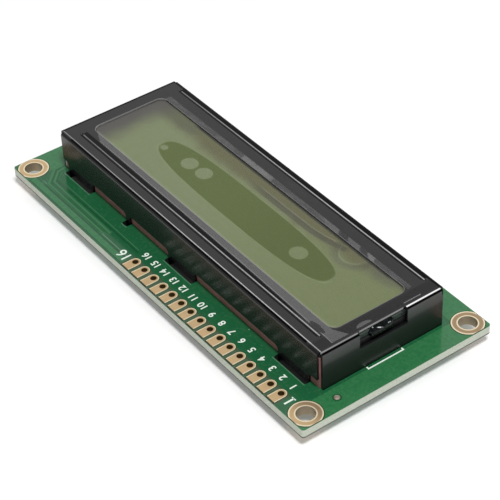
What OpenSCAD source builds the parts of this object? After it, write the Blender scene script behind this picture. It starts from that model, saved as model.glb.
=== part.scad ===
// Character display module: a liquid crystal cell and its backlight under a folded steel bezel,
// on a circuit board with plated corner holes and a header row.
// Sizes are millimetres. X runs along the board, the header row lies on the -Y side, and +Z points
// out of the display. The origin lies under the middle of the board, level with the flats of the
// two epoxy drops behind it, which the module rests on.

/* [Circuit board] */
// Length of the board
board_l = 80; // [72:0.5:100]
// Width of the board
board_w = 36; // [32:0.5:46]
// Thickness of the board
board_t = 1.6; // [0.8:0.1:2.4]
// Radius of the board's corners
board_corner_r = 0.5; // [0.2:0.1:1.5]
// Thickness of the copper and gold on pads and hole walls
plating_t = 0.05; // [0.03:0.01:0.1]

/* [Corner holes] */
// Finished diameter of the plated corner holes
corner_hole_d = 3; // [2.5:0.1:3.4]
// Distance from a corner hole's centre to both edges of the board
corner_hole_inset = 2.5; // [2.4:0.1:3.2]
// Outside diameter of the ring pad round a corner hole
corner_pad_d = 5.2; // [4.6:0.1:5.8]
// Bare strip between a ring pad's straight cut and the board's edge
corner_pad_edge_gap = 0.12; // [0.1:0.01:0.3]

/* [Header row] */
// Number of header holes
header_count = 16; // [14:1:16]
// Pitch of the header row
header_pitch = 2.54; // [2:0.01:2.54]
// Finished diameter of a header hole
header_hole_d = 1; // [0.8:0.05:1.2]
// Distance from the first header hole to the +X end of the board
header_first_inset = 8; // [7:0.1:9]
// Distance from the header row to the near edge of the board
header_edge_inset = 2.22; // [1.8:0.01:3]
// Width of a header pad
header_pad_w = 1.8; // [1.5:0.05:1.9]
// Bare strip between a header pad and the board's edge
header_pad_edge_gap = 0.3; // [0.1:0.05:0.6]

/* [Bezel] */
// Distance from the bezel's end walls to the board's ends
bezel_end_gap = 4.7; // [4.5:0.1:6]
// Distance from the near wall to the near edge of the board
bezel_near_gap = 6.85; // [6:0.05:8]
// Distance from the far wall to the far edge of the board
bezel_far_gap = 5.21; // [4.8:0.01:6]
// Thickness of the steel sheet
sheet_t = 0.4; // [0.3:0.05:0.5]
// Inside radius of the folds along the long walls
side_fold_r = 0.15; // [0.05:0.05:0.2]
// Inside radius of the folds along the end walls
end_fold_r = 0.05; // [0.02:0.01:0.15]
// Gap between a long wall's end and the start of the end fold
corner_slot = 0.35; // [0.3:0.05:0.8]
// Height of the long walls' lower edges above the board
wall_lift = 1.75; // [1.2:0.05:2.5]
// Radius in the upper corners of the cut-outs between tabs
cutout_r = 0.8; // [0.3:0.1:1]

/* [Window] */
// Border between the left end wall and the window
window_left = 2.9; // [2.2:0.1:4]
// Border between the right end wall and the window
window_right = 3.2; // [2.2:0.1:4]
// Border between the near wall and the window
window_near = 4.95; // [4:0.05:6]
// Border between the far wall and the window
window_far = 4.74; // [4:0.01:6]
// Radius of the window's corners
window_r = 1.4; // [0.5:0.1:3]

/* [Grooves] */
// Width of a pressed groove at the surface
groove_w = 0.5; // [0.4:0.05:0.6]
// Depth of a pressed groove
groove_depth = 0.15; // [0.05:0.01:0.18]
// Distance from the near wall to the near groove
groove_near = 2.62; // [2.2:0.01:2.8]
// Distance from the far wall to the far groove
groove_far = 1.37; // [1.2:0.01:2.2]
// Distance from an end wall to the end of a groove
groove_end = 3.3; // [2.5:0.1:6]

/* [Tabs] */
// Width of the two end tabs of a long wall
end_tab_w = 7.4; // [5:0.1:9]
// Distance from the left end wall to the left tab
left_tab_inset = 2.3; // [2.2:0.05:4]
// Distance from the right end wall to the right tab
right_tab_inset = 2.75; // [2.2:0.05:4]
// Width of the middle tab of a long wall
mid_tab_w = 7.3; // [5:0.1:8]
// Centre of the middle tab
mid_tab_x = 0.05; // [-1:0.05:1]
// Width of the narrow locating peg of a long wall
peg_w = 1.1; // [0.8:0.1:2.4]
// Centre of the locating peg
peg_x = -15.15; // [-15.5:0.05:-14]
// Length of a tab folded behind the board
tab_fold_l = 2.4; // [1.5:0.1:3]
// Length of the peg behind the board
peg_reach = 0.8; // [0.4:0.1:1]
// Clearance outside a wall in its board slot
slot_outer_gap = 0.8; // [0.3:0.05:0.9]
// Clearance inside a wall in its board slot
slot_inner_gap = 0.2; // [0.15:0.05:0.25]
// Clearance at each end of a tab in its board slot
slot_end_gap = 0.15; // [0.1:0.05:0.3]
// Radius in the corners of a board slot
slot_r = 0.4; // [0.2:0.05:0.4]

/* [End notch] */
// Width of the notch in the right end wall
notch_w = 9.1; // [6:0.1:11]
// Height of the notch's sill above the board
notch_sill = 4.2; // [3:0.1:4.8]
// Distance that the notch reaches in from the wall's outer face
notch_reach = 0.62; // [0.5:0.01:0.7]

/* [Display cell] */
// Thickness of each glass
glass_t = 0.55; // [0.4:0.05:1.1]
// Thickness of each polarizing film
polarizer_t = 0.2; // [0.1:0.05:0.3]
// Gap between the glasses, filled by the seal and the liquid crystal
cell_gap = 0.1; // [0.05:0.01:0.2]
// Clearance between the front glass and the bezel's walls
glass_gap = 0.1; // [0.05:0.05:0.3]
// End clearance of the front glass inside the end walls
glass_end_gap = 0.3; // [0.2:0.05:0.4]
// Step at each end from the front glass to the shorter rear glass
rear_glass_step = 0.1; // [0.05:0.05:0.3]
// Width of the seal between the glasses
seal_w = 0.8; // [0.5:0.1:1.5]
// Width of the front polarizer's hidden border round the window
polarizer_border = 1; // [0.5:0.1:1.2]
// Bare border of the rear glass round the rear polarizer
rear_polarizer_inset = 0.5; // [0.3:0.1:1]

/* [Filling port] */
// Width of the gap in the seal
port_w = 2; // [1:0.1:3]
// Radius of the glue bead on the port
bead_r = 1.05; // [0.8:0.05:1.1]
// Length of the glue bead
bead_l = 4.9; // [3:0.1:6]
// Gap between the bead and the bezel's top sheet
bead_gap = 0.03; // [0.01:0.01:0.1]

/* [Protective film] */
// Thickness of the film
film_t = 0.08; // [0.05:0.01:0.15]
// Bare stretch of the window left of the film, at the near edge
film_bare_near = 3.9; // [1:0.1:6]
// Bare stretch of the window left of the film, at the far edge
film_bare_far = 0.8; // [0.5:0.1:6]
// Overlap on the bezel at the near edge, at the film's left end
film_over_near_left = 1.15; // [0.8:0.05:2]
// Overlap on the bezel at the near edge, at the film's right end
film_over_near_right = 1.95; // [0.8:0.05:2]
// Overlap on the bezel at the far edge
film_over_far = 0.9; // [0.8:0.05:2]
// Overlap on the bezel at the right end
film_over_right = 2.15; // [0.8:0.05:2.5]
// Distance from the window's edge at which the film dips onto the display
film_dip = 0.5; // [0.3:0.1:1]

/* [Silicone strips] */
// Width of a silicone strip
strip_w = 2; // [1.5:0.1:2.4]
// Gap between a strip and the pieces inside it
strip_gap = 0.1; // [0.05:0.05:0.3]
// Clearance between a strip's ends and the end walls
strip_end_gap = 0.2; // [0.1:0.05:0.5]
// Number of contact fingers under a strip
finger_count = 48; // [20:1:50]
// Width of a contact finger
finger_w = 0.7; // [0.4:0.05:0.8]
// Length of a contact finger
finger_l = 1.5; // [1:0.1:1.6]
// Bare strip beyond the last contact finger at each end
finger_margin = 2.2; // [1.5:0.1:4]

/* [Backlight] */
// Height of the whole backlight above the board
backlight_h = 5.08; // [4:0.01:6]
// Thickness of the black holder's end walls
holder_end_wall = 1.2; // [0.8:0.1:1.6]
// Thickness of the black holder's long walls
holder_side_wall = 0.8; // [0.6:0.1:1]
// Clearance between the backlight and its holder
holder_gap = 0.1; // [0.05:0.05:0.2]
// Thickness of the board that carries the light's dice
light_board_t = 0.8; // [0.5:0.1:1.2]
// Thickness of the milky diffuser plate
diffuser_t = 0.5; // [0.3:0.1:1]
// Wall of the white reflector frame
reflector_wall = 1.6; // [1.5:0.1:2.5]
// Radius in the corners of the light cavity
cavity_r = 1; // [0.5:0.1:2]
// Depth and width of the rim that holds the diffuser
diffuser_rim = 0.6; // [0.4:0.1:0.8]
// Clearance round the diffuser in its rim
diffuser_gap = 0.1; // [0.05:0.05:0.2]
// Number of dice in a row
die_columns = 12; // [6:1:16]
// Number of rows of dice
die_rows = 3; // [2:1:4]
// Side of a light emitting die
light_die_w = 0.4; // [0.3:0.05:0.6]
// Height of a light emitting die
light_die_h = 0.3; // [0.2:0.05:0.4]
// Diameter of a backlight pin
light_pin_d = 0.6; // [0.5:0.05:0.8]
// Distance from the left end wall to the backlight pins
light_pin_inset = 2.9; // [2.8:0.1:3.1]
// Distance between the two backlight pins
light_pin_pitch = 5.08; // [2.54:0.01:7.62]
// Length of a backlight pin behind the board
light_pin_reach = 1; // [0.6:0.1:1.2]
// Length of a backlight pin above the light's own board
light_pin_head = 0.3; // [0.1:0.1:0.5]

/* [Chips behind the board] */
// Height of the epoxy drops
drop_h = 1.8; // [1.2:0.1:2.4]
// Diameter of a drop's flat
drop_flat_d = 8; // [6:0.5:9]
// Diameter of the controller's drop on the board
controller_drop_d = 13; // [11:0.5:14]
// Diameter of the driver's drop on the board
driver_drop_d = 12; // [11:0.5:13]
// Distance of each drop's centre from the middle of the board
drop_x = 14; // [10:0.5:18]
// Side of a bare chip in its drop
chip_w = 3.2; // [2:0.1:4]
// Thickness of a bare chip
chip_t = 0.4; // [0.2:0.05:0.6]

/* [Chip parts] */
// Length of a chip resistor or capacitor over its ends
smd_l = 2; // [1.6:0.1:2.2]
// Width of a chip resistor or capacitor
smd_w = 1.25; // [0.8:0.05:1.4]
// Height of a chip resistor
resistor_h = 0.55; // [0.4:0.05:0.7]
// Height of a chip capacitor
capacitor_h = 0.9; // [0.6:0.05:1.2]
// Length of a tinned end
smd_end_l = 0.4; // [0.3:0.05:0.5]
// Number of chip resistors in their row
resistor_count = 5; // [3:1:6]
// Pitch of the chip resistors
resistor_pitch = 2.4; // [2:0.1:3]
// Number of chip capacitors in their row
capacitor_count = 3; // [1:1:4]
// Pitch of the chip capacitors
capacitor_pitch = 3.2; // [2:0.1:4]

/* [Hidden] */
$fn = 48;
eps = 0.01;

// Heights of the board's faces
back_z = drop_h;
face_z = back_z + board_t;

// Bezel: outer size, centre and height above the board
bezel_l = board_l - 2 * bezel_end_gap;
bezel_w = board_w - bezel_near_gap - bezel_far_gap;
bezel_y = (bezel_near_gap - bezel_far_gap) / 2;
cell_z = backlight_h + polarizer_t;
seal_z = cell_z + glass_t;
front_z = seal_z + cell_gap;
front_top = front_z + glass_t;
polarizer_top = front_top + polarizer_t;
bezel_h = polarizer_top + sheet_t;

// Window size and centre, from the bezel's centre
window_l = bezel_l - window_left - window_right;
window_w = bezel_w - window_near - window_far;
window_x = (window_left - window_right) / 2;
window_y = (window_near - window_far) / 2;

// A groove is a ball-ended trough whose section is an arc of this radius
groove_r = (pow(groove_w / 2, 2) + pow(groove_depth, 2)) / (2 * groove_depth);
groove_l = bezel_l - 2 * groove_end;

// Inside of the bezel, and what fits between its walls
inside_l = bezel_l - 2 * sheet_t;
inside_w = bezel_w - 2 * sheet_t;
front_l = inside_l - 2 * glass_end_gap;
front_w = inside_w - 2 * glass_gap;
core_w = inside_w - 2 * (strip_w + strip_gap);
core_l = front_l - 2 * rear_glass_step;
strip_l = inside_l - 2 * strip_end_gap;
strip_y = (inside_w - strip_w) / 2;

// Backlight inside its holder, and the light cavity inside the backlight
light_l = core_l - 2 * (holder_end_wall + holder_gap);
light_w = core_w - 2 * (holder_side_wall + holder_gap);
cavity_l = light_l - 2 * reflector_wall;
cavity_w = light_w - 2 * reflector_wall;

// Inside radius of the tabs' folds behind the board
hook_fold_r = slot_inner_gap * 0.75;

// Tabs of a long wall as left end and width, from the bezel's centre
tabs = [[left_tab_inset - bezel_l / 2, end_tab_w],
    [mid_tab_x - mid_tab_w / 2, mid_tab_w],
    [bezel_l / 2 - right_tab_inset - end_tab_w, end_tab_w]];
peg = [peg_x - peg_w / 2, peg_w];

// Header holes, first at the +X end
header_x = [for (i = [0 : header_count - 1]) board_l / 2 - header_first_inset - i * header_pitch];
header_y = header_edge_inset - board_w / 2;

// Backlight pins, from the board's centre
light_pin_x = light_pin_inset - bezel_l / 2;
light_pin_hole_d = light_pin_d + 0.2;
light_pin_y = [for (s = [-1, 1]) bezel_y + s * light_pin_pitch / 2];
solder_h = light_pin_reach * 0.6;
solder_d = light_pin_hole_d + 0.9;

// Chip parts behind the board
resistor_x = [for (i = [0 : resistor_count - 1]) -board_l / 8 - i * resistor_pitch];
capacitor_x = [for (i = [0 : capacitor_count - 1]) board_l / 8 + i * capacitor_pitch];
smd_y = (header_y + header_pad_w / 2 + bezel_near_gap - board_w / 2) / 2;

// Colours
mask_green = [0.22, 0.5, 0.31];
gold = [0.85, 0.72, 0.5];
steel_black = [0.2, 0.2, 0.2];
clear_grey = [0.75, 0.76, 0.74];
display_green = [0.5, 0.55, 0.4];
glass_green = [0.66, 0.75, 0.68];
silicone_pink = [0.72, 0.5, 0.48];
white_plastic = [0.93, 0.93, 0.9];
tin = [0.78, 0.78, 0.78];

// Rectangle centred on the origin with round corners
module round_rect(l, w, r) {
    square([l - 2 * r, w], center = true);
    square([l, w - 2 * r], center = true);
    for (x = [-1, 1], y = [-1, 1])
        translate([x * (l / 2 - r), y * (w / 2 - r)]) circle(r);
}

// Box by its size, standing on z and centred on x and y
module slab(l, w, h, x, y, z) {
    translate([x - l / 2, y - w / 2, z]) cube([l, w, h]);
}

// Quarter ring of a fold in the first quadrant
module fold_section(r_in) {
    intersection() {
        difference() {
            circle(r_in + sheet_t);
            circle(r_in);
        }
        square(r_in + sheet_t);
    }
}

// Everything drawn in the bezel's own place
module at_bezel(z = 0) {
    translate([0, bezel_y, face_z + z]) children();
}

// The same thing on both long sides of the bezel
module both_sides() {
    children();
    mirror([0, 1, 0]) children();
}

// Board slots that the tabs and pegs of the two long walls pass through
module tab_slots() {
    slot_w = slot_outer_gap + sheet_t + slot_inner_gap;
    slot_y = -bezel_w / 2 + sheet_t + slot_inner_gap - slot_w / 2;
    both_sides()
        for (t = concat(tabs, [peg])) translate([t[0] + t[1] / 2, slot_y])
            round_rect(t[1] + 2 * slot_end_gap, slot_w, slot_r);
}

module circuit_board() {
    color(mask_green) translate([0, 0, back_z]) difference() {
        linear_extrude(board_t) round_rect(board_l, board_w, board_corner_r);
        translate([0, 0, -1]) linear_extrude(board_t + 2) {
            for (x = [-1, 1], y = [-1, 1])
                translate([x * (board_l / 2 - corner_hole_inset), y * (board_w / 2 - corner_hole_inset)])
                    circle(corner_hole_d / 2 + plating_t);
            for (x = header_x) translate([x, header_y]) circle(header_hole_d / 2 + plating_t);
            for (y = light_pin_y) translate([light_pin_x, y]) circle(light_pin_hole_d / 2);
            translate([0, bezel_y]) tab_slots();
        }
    }
}

// Plated hole: a pad on each face, given as flat shapes, and the barrel between them
module plated_hole(d) {
    difference() {
        union() {
            translate([0, 0, face_z]) linear_extrude(plating_t) children(0);
            translate([0, 0, back_z - plating_t]) linear_extrude(plating_t) children(1);
            translate([0, 0, back_z]) cylinder(h = board_t, d = d + 2 * plating_t);
        }
        translate([0, 0, back_z - 1]) cylinder(h = board_t + 2, d = d);
    }
}

// Ring pad cut straight on its two sides towards the board's edges
module corner_pad() {
    flat = corner_hole_inset - corner_pad_edge_gap;
    intersection() {
        circle(corner_pad_d / 2);
        translate([-corner_pad_d, -corner_pad_d]) square(corner_pad_d + flat);
    }
}

module mounting_pads() {
    color(gold) for (x = [0, 1], y = [0, 1])
        mirror([x, 0, 0]) mirror([0, y, 0])
            translate([board_l / 2 - corner_hole_inset, board_w / 2 - corner_hole_inset, 0])
                plated_hole(corner_hole_d) {
                    corner_pad();
                    corner_pad();
                }
}

// Header pad: round towards the board, straight towards the near edge
module header_pad() {
    reach = header_edge_inset - header_pad_edge_gap;
    circle(header_pad_w / 2);
    translate([-header_pad_w / 2, -reach]) square([header_pad_w, reach]);
}

module header_pads() {
    color(gold) for (x = header_x) translate([x, header_y, 0])
        plated_hole(header_hole_d) {
            header_pad();
            circle(header_pad_w / 2);
        }
}

module contact_fingers() {
    span = strip_l - 2 * finger_margin;
    color(gold) at_bezel() for (s = [-1, 1], i = [0 : finger_count - 1])
        slab(finger_w, finger_l, plating_t, -span / 2 + i * span / (finger_count - 1), s * strip_y, 0);
}

// Outline of a long wall below its fold: a band, and the tabs that go on down to the board
module wall_outline(drop) {
    wall_l = inside_l - 2 * corner_slot;
    top = bezel_h - sheet_t - side_fold_r;
    translate([-wall_l / 2, wall_lift]) square([wall_l, top - wall_lift]);
    for (t = tabs) translate([t[0], drop]) square([t[1], wall_lift - drop + eps]);
    for (t = concat(tabs, [peg])) tab_root(t);
    translate([peg[0], -board_t - peg_reach]) square([peg[1], board_t + peg_reach + wall_lift + eps]);
}

// Round corners where a tab or peg leaves the band
module tab_root(t) {
    for (side = [0, 1]) translate([t[0] + side * t[1], wall_lift])
        mirror([side, 0]) translate([-cutout_r, -cutout_r]) difference() {
            square(cutout_r + eps);
            circle(cutout_r);
        }
}

// The fold of a tab behind the board, from the wall's end to its tip
module tab_hook(t) {
    fold_y = -bezel_w / 2 + sheet_t + hook_fold_r;
    translate([t[0], 0, 0]) rotate([90, 0, 90]) linear_extrude(t[1]) {
        translate([fold_y, -board_t + hook_fold_r]) rotate(180) fold_section(hook_fold_r);
        translate([fold_y, -board_t - sheet_t]) square([tab_fold_l - hook_fold_r, sheet_t]);
    }
}

// One long wall with its fold, tabs and peg
module long_wall() {
    fold_l = inside_l - 2 * corner_slot;
    fold_c = bezel_w / 2 - sheet_t - side_fold_r;
    translate([0, -bezel_w / 2 + sheet_t, 0]) rotate([90, 0, 0])
        linear_extrude(sheet_t) wall_outline(-board_t + hook_fold_r);
    rotate([90, 0, 90]) linear_extrude(fold_l, center = true)
        translate([-fold_c, bezel_h - sheet_t - side_fold_r]) mirror([1, 0]) fold_section(side_fold_r);
    for (t = tabs) tab_hook(t);
}

// One end wall with its fold
module end_wall() {
    wall_w = bezel_w - 2 * (sheet_t + side_fold_r);
    top = bezel_h - sheet_t - end_fold_r;
    translate([bezel_l / 2 - sheet_t, -wall_w / 2, 0]) cube([sheet_t, wall_w, top]);
    rotate([90, 0, 0]) linear_extrude(wall_w, center = true)
        translate([bezel_l / 2 - sheet_t - end_fold_r, top]) fold_section(end_fold_r);
}

// Ball-ended round bar along X at a groove's axis
module groove_bar(r) {
    rotate([0, 90, 0]) cylinder(h = groove_l, r = r, center = true);
    for (x = [-1, 1]) translate([x * groove_l / 2, 0, 0]) sphere(r);
}

module bezel() {
    flat_l = bezel_l - 2 * (sheet_t + end_fold_r);
    flat_w = bezel_w - 2 * (sheet_t + side_fold_r);
    groove_z = bezel_h - groove_depth + groove_r;
    groove_y = [groove_near - bezel_w / 2, bezel_w / 2 - groove_far];
    color(steel_black) at_bezel() difference() {
        union() {
            slab(flat_l, flat_w, sheet_t, 0, 0, bezel_h - sheet_t);
            both_sides() long_wall();
            end_wall();
            mirror([1, 0, 0]) end_wall();
            for (y = groove_y) intersection() {
                translate([0, y, groove_z]) groove_bar(groove_r + sheet_t);
                slab(bezel_l, 4 * groove_w, sheet_t, 0, y, bezel_h - 1.5 * sheet_t);
            }
        }
        translate([window_x, window_y, bezel_h - 2 * sheet_t]) linear_extrude(4 * sheet_t)
            round_rect(window_l, window_w, window_r);
        for (y = groove_y) translate([0, y, groove_z]) groove_bar(groove_r);
        slab(2 * notch_reach, notch_w, bezel_h, bezel_l / 2, 0, notch_sill);
    }
}

// Outline of the protective film from the window's centre: a strip with one slanted end,
// laid on by hand and not quite square
module film_outline() {
    right = window_l / 2 + film_over_right;
    far = window_w / 2 + film_over_far;
    polygon([[film_bare_near - window_l / 2, -window_w / 2 - film_over_near_left],
        [right, -window_w / 2 - film_over_near_right], [right, far],
        [film_bare_far - window_l / 2, far]]);
}

// Window outline made smaller on all sides
module window_inside(margin) {
    round_rect(window_l - 2 * margin, window_w - 2 * margin, window_r - margin);
}

// The film lies on the bezel and dips through the window onto the polarizer
module protective_film() {
    color(clear_grey) at_bezel() translate([window_x, window_y, 0]) {
        translate([0, 0, bezel_h]) linear_extrude(film_t) difference() {
            film_outline();
            window_inside(film_dip);
        }
        translate([0, 0, polarizer_top]) linear_extrude(sheet_t + film_t) intersection() {
            film_outline();
            difference() {
                window_inside(film_dip);
                window_inside(film_dip + film_t);
            }
        }
        translate([0, 0, polarizer_top]) linear_extrude(film_t) intersection() {
            film_outline();
            window_inside(film_dip);
        }
    }
}

module front_polarizer() {
    color(display_green) at_bezel() slab(window_l + 2 * polarizer_border, window_w + 2 * polarizer_border,
        polarizer_t, window_x, window_y, front_top);
}

module front_glass() {
    color(glass_green) at_bezel() slab(front_l, front_w, glass_t, 0, 0, front_z);
}

// Ring of glue between the glasses, open at the filling port
module cell_seal() {
    color(white_plastic) at_bezel() difference() {
        slab(core_l, core_w, cell_gap, 0, 0, seal_z);
        slab(core_l - 2 * seal_w, core_w - 2 * seal_w, 1, 0, 0, seal_z - 0.5);
        slab(4 * seal_w, port_w, 1, core_l / 2, 0, seal_z - 0.5);
    }
}

module liquid_crystal() {
    color(display_green) at_bezel()
        slab(core_l - 2 * seal_w, core_w - 2 * seal_w, cell_gap, 0, 0, seal_z);
}

// Glue bead on the ends of both glasses, and its plug in the port
module end_seal() {
    glass_end = front_l / 2;
    bead_x = bezel_l / 2 - bead_r;
    bead_z = bezel_h - sheet_t - bead_r - bead_gap;
    color(clear_grey) at_bezel() {
        intersection() {
            translate([bead_x, 0, bead_z]) {
                rotate([90, 0, 0]) cylinder(h = bead_l - 2 * bead_r, r = bead_r, center = true);
                for (s = [-1, 1]) translate([0, s * (bead_l / 2 - bead_r), 0]) sphere(bead_r);
            }
            translate([glass_end, -bead_l, 0]) cube([bead_r * 2, bead_l * 2, bezel_h]);
        }
        translate([core_l / 2 - seal_w, -port_w / 2, seal_z])
            cube([glass_end - core_l / 2 + seal_w + eps, port_w, cell_gap]);
    }
}

module rear_glass() {
    color(glass_green) at_bezel() slab(core_l, core_w, glass_t, 0, 0, cell_z);
}

module rear_polarizer() {
    color(display_green) at_bezel()
        slab(core_l - 2 * rear_polarizer_inset, core_w - 2 * rear_polarizer_inset, polarizer_t,
            0, 0, backlight_h);
}

// Silicone strip between the contact fingers and the front glass
module silicone_strip(side) {
    color(silicone_pink) at_bezel()
        slab(strip_l, strip_w, front_z - plating_t, 0, side * strip_y, plating_t);
}

module zebra_strip_near() {
    silicone_strip(-1);
}

module zebra_strip_far() {
    silicone_strip(1);
}

// Black frame round the backlight, which carries the edges of the rear glass
module cell_holder() {
    color(steel_black) at_bezel() difference() {
        slab(core_l, core_w, backlight_h, 0, 0, 0);
        slab(light_l + 2 * holder_gap, light_w + 2 * holder_gap, backlight_h + 2, 0, 0, -1);
    }
}

module backlight_board() {
    color(white_plastic) at_bezel() difference() {
        slab(light_l, light_w, light_board_t, 0, 0, 0);
        for (y = light_pin_y) translate([light_pin_x, y - bezel_y, -1])
            cylinder(h = light_board_t + 2, d = light_pin_d);
    }
}

// White frame round the light cavity, with a rim that holds the diffuser and pockets over the pins
module backlight_reflector() {
    color(white_plastic) at_bezel() difference() {
        slab(light_l, light_w, backlight_h - light_board_t, 0, 0, light_board_t);
        linear_extrude(backlight_h) round_rect(cavity_l, cavity_w, cavity_r);
        slab(light_l - 2 * diffuser_rim, light_w - 2 * diffuser_rim, diffuser_t + 1, 0, 0,
            backlight_h - diffuser_t);
        for (y = light_pin_y) translate([light_pin_x, y - bezel_y, 0])
            cylinder(h = light_board_t + light_pin_head + holder_gap, d = light_pin_d + 2 * holder_gap);
    }
}

module backlight_diffuser() {
    margin = diffuser_rim + diffuser_gap;
    color(white_plastic) at_bezel()
        slab(light_l - 2 * margin, light_w - 2 * margin, diffuser_t, 0, 0, backlight_h - diffuser_t);
}

module backlight_dice() {
    pitch_x = cavity_l / die_columns;
    pitch_y = cavity_w / die_rows;
    color([0.8, 0.85, 0.3]) at_bezel() for (i = [0 : die_columns - 1], j = [0 : die_rows - 1])
        slab(light_die_w, light_die_w, light_die_h, (i - (die_columns - 1) / 2) * pitch_x,
            (j - (die_rows - 1) / 2) * pitch_y, light_board_t);
}

module backlight_pins() {
    color(tin) for (y = light_pin_y)
        translate([light_pin_x, y, back_z - light_pin_reach])
            cylinder(h = light_pin_reach + board_t + light_board_t + light_pin_head, d = light_pin_d);
}

// Cone of solder round each pin on the back of the board
module backlight_solder() {
    color(tin) for (y = light_pin_y) translate([light_pin_x, y, back_z - solder_h]) difference() {
        cylinder(h = solder_h, d1 = light_pin_d + 0.3, d2 = solder_d);
        translate([0, 0, -1]) cylinder(h = solder_h + 2, d = light_pin_d);
    }
}

// Epoxy drop: a ball cap cut off flat, cast over the chip on the back of the board
module epoxy_drop(x, base_d) {
    base_r = base_d / 2;
    flat_r = drop_flat_d / 2;
    sink = (base_r * base_r - flat_r * flat_r - drop_h * drop_h) / (2 * drop_h);
    ball_r = sqrt(base_r * base_r + sink * sink);
    color([0.08, 0.08, 0.08]) translate([x, bezel_y, back_z]) difference() {
        rotate_extrude() intersection() {
            translate([0, sink]) circle(ball_r, $fn = 96);
            translate([0, -drop_h]) square([base_r, drop_h]);
        }
        translate([-chip_w / 2, -chip_w / 2, -chip_t]) cube([chip_w, chip_w, chip_t + 1]);
    }
}

module controller_blob() {
    epoxy_drop(-drop_x, controller_drop_d);
}

module driver_blob() {
    epoxy_drop(drop_x, driver_drop_d);
}

// Bare chip bonded to the back of the board
module bare_chip(x) {
    color([0.45, 0.46, 0.5]) slab(chip_w, chip_w, chip_t, x, bezel_y, back_z - chip_t);
}

module controller_die() {
    bare_chip(-drop_x);
}

module driver_die() {
    bare_chip(drop_x);
}

// Body of a chip part between its tinned ends, hanging below the board
module smd_body(h) {
    slab(smd_l - 2 * smd_end_l, smd_w, h, 0, 0, back_z - h);
}

// The two tinned ends of a chip part
module smd_ends(h) {
    for (s = [-1, 1]) slab(smd_end_l, smd_w, h, s * (smd_l - smd_end_l) / 2, 0, back_z - h);
}

module resistors() {
    color([0.1, 0.1, 0.12]) for (x = resistor_x) translate([x, smd_y, 0]) rotate(90) smd_body(resistor_h);
}

module resistor_caps() {
    color(tin) for (x = resistor_x) translate([x, smd_y, 0]) rotate(90) smd_ends(resistor_h);
}

module capacitors() {
    color([0.62, 0.5, 0.36]) for (x = capacitor_x) translate([x, smd_y, 0]) rotate(90) smd_body(capacitor_h);
}

module capacitor_caps() {
    color(tin) for (x = capacitor_x) translate([x, smd_y, 0]) rotate(90) smd_ends(capacitor_h);
}

circuit_board();
mounting_pads();
header_pads();
contact_fingers();
bezel();
protective_film();
front_polarizer();
front_glass();
cell_seal();
liquid_crystal();
end_seal();
rear_glass();
rear_polarizer();
zebra_strip_near();
zebra_strip_far();
cell_holder();
backlight_diffuser();
backlight_reflector();
backlight_board();
backlight_dice();
backlight_pins();
backlight_solder();
controller_blob();
driver_blob();
controller_die();
driver_die();
resistors();
resistor_caps();
capacitors();
capacitor_caps();
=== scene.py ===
# %% [markdown]
# A character display module, finished in Blender.
# The construction comes as a fixed frame: board, plated pads, folded bezel, glass cell, light and chips.
# This lesson gives each of those pieces its finish and adds what is too thin or too soft for the frame:
# the protective film, the white print, one filled via and the copper tracks that show through the mask.

# %% Load the frame
import math
import bmesh
import bpy
from mathutils import Matrix, Vector, noise


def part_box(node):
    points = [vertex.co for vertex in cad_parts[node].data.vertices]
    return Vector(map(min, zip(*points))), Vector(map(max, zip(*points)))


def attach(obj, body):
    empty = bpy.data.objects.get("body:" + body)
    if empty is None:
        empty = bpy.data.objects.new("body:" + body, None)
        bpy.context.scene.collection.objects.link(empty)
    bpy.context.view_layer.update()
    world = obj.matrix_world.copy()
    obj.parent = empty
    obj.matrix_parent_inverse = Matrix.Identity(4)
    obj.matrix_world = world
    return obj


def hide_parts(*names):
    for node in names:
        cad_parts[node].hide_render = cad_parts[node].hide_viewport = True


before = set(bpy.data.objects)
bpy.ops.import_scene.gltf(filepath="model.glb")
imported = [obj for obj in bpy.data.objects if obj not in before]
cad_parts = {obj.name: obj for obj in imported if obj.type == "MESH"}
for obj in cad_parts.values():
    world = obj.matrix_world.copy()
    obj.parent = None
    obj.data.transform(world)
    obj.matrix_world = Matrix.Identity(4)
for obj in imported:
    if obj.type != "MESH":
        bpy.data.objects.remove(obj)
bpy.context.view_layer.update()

MM = 0.001

# %% [markdown]
# Everything is measured in millimetres here and written to Blender in metres.
# Heights are read from the frame's own boxes, so the finishes follow if a piece gets thicker.
# Places along the board, such as the first pin's, are stated once and shared by several finishes.

# %% Places on the module
def corners(node):
    """Lowest and highest corner of a node of the frame in millimetres."""
    low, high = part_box(node)
    return [v / MM for v in low], [v / MM for v in high]


BOARD_LOW, BOARD_HIGH = corners("circuit_board")
BOARD_BACK, BOARD_TOP = BOARD_LOW[2], BOARD_HIGH[2]
BEZEL_TOP = corners("bezel")[1][2]
POLARIZER_TOP = corners("front_polarizer")[1][2]
WINDOW = dict(left=-32.4, right=32.1, near=-6.2, far=8.05, corner=1.4)
PITCH, PIN_COUNT = 2.54, 16
FIRST_PIN, PIN_Y = 32.0, -15.78
HOLE_X, HOLE_Y = 37.5, 15.5
VIA = dict(x=37.7, y=-9.94, radius=0.5)
print("board", round(BOARD_BACK, 2), "to", round(BOARD_TOP, 2), "bezel top", round(BEZEL_TOP, 2),
      "polarizer top", round(POLARIZER_TOP, 2))

# %% [markdown]
# The camera stands where the photograph was taken from: to the right of the first pin and well above the
# board, with a long lens. It could be turned by hand until the picture fits. Here its place is an angle round
# the module, an angle up and a distance from a point on the board, which are three numbers to correct.

# %% Camera
AROUND = math.radians(54.5)
UP = math.radians(39.45)
ROLL = math.radians(-2.2)
DISTANCE = 294.0
AIM = Vector((2.83, 3.21, BOARD_TOP))
LENS, SENSOR = 132.34, 36.0
SHIFT = (-0.0302, -0.0158)

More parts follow.
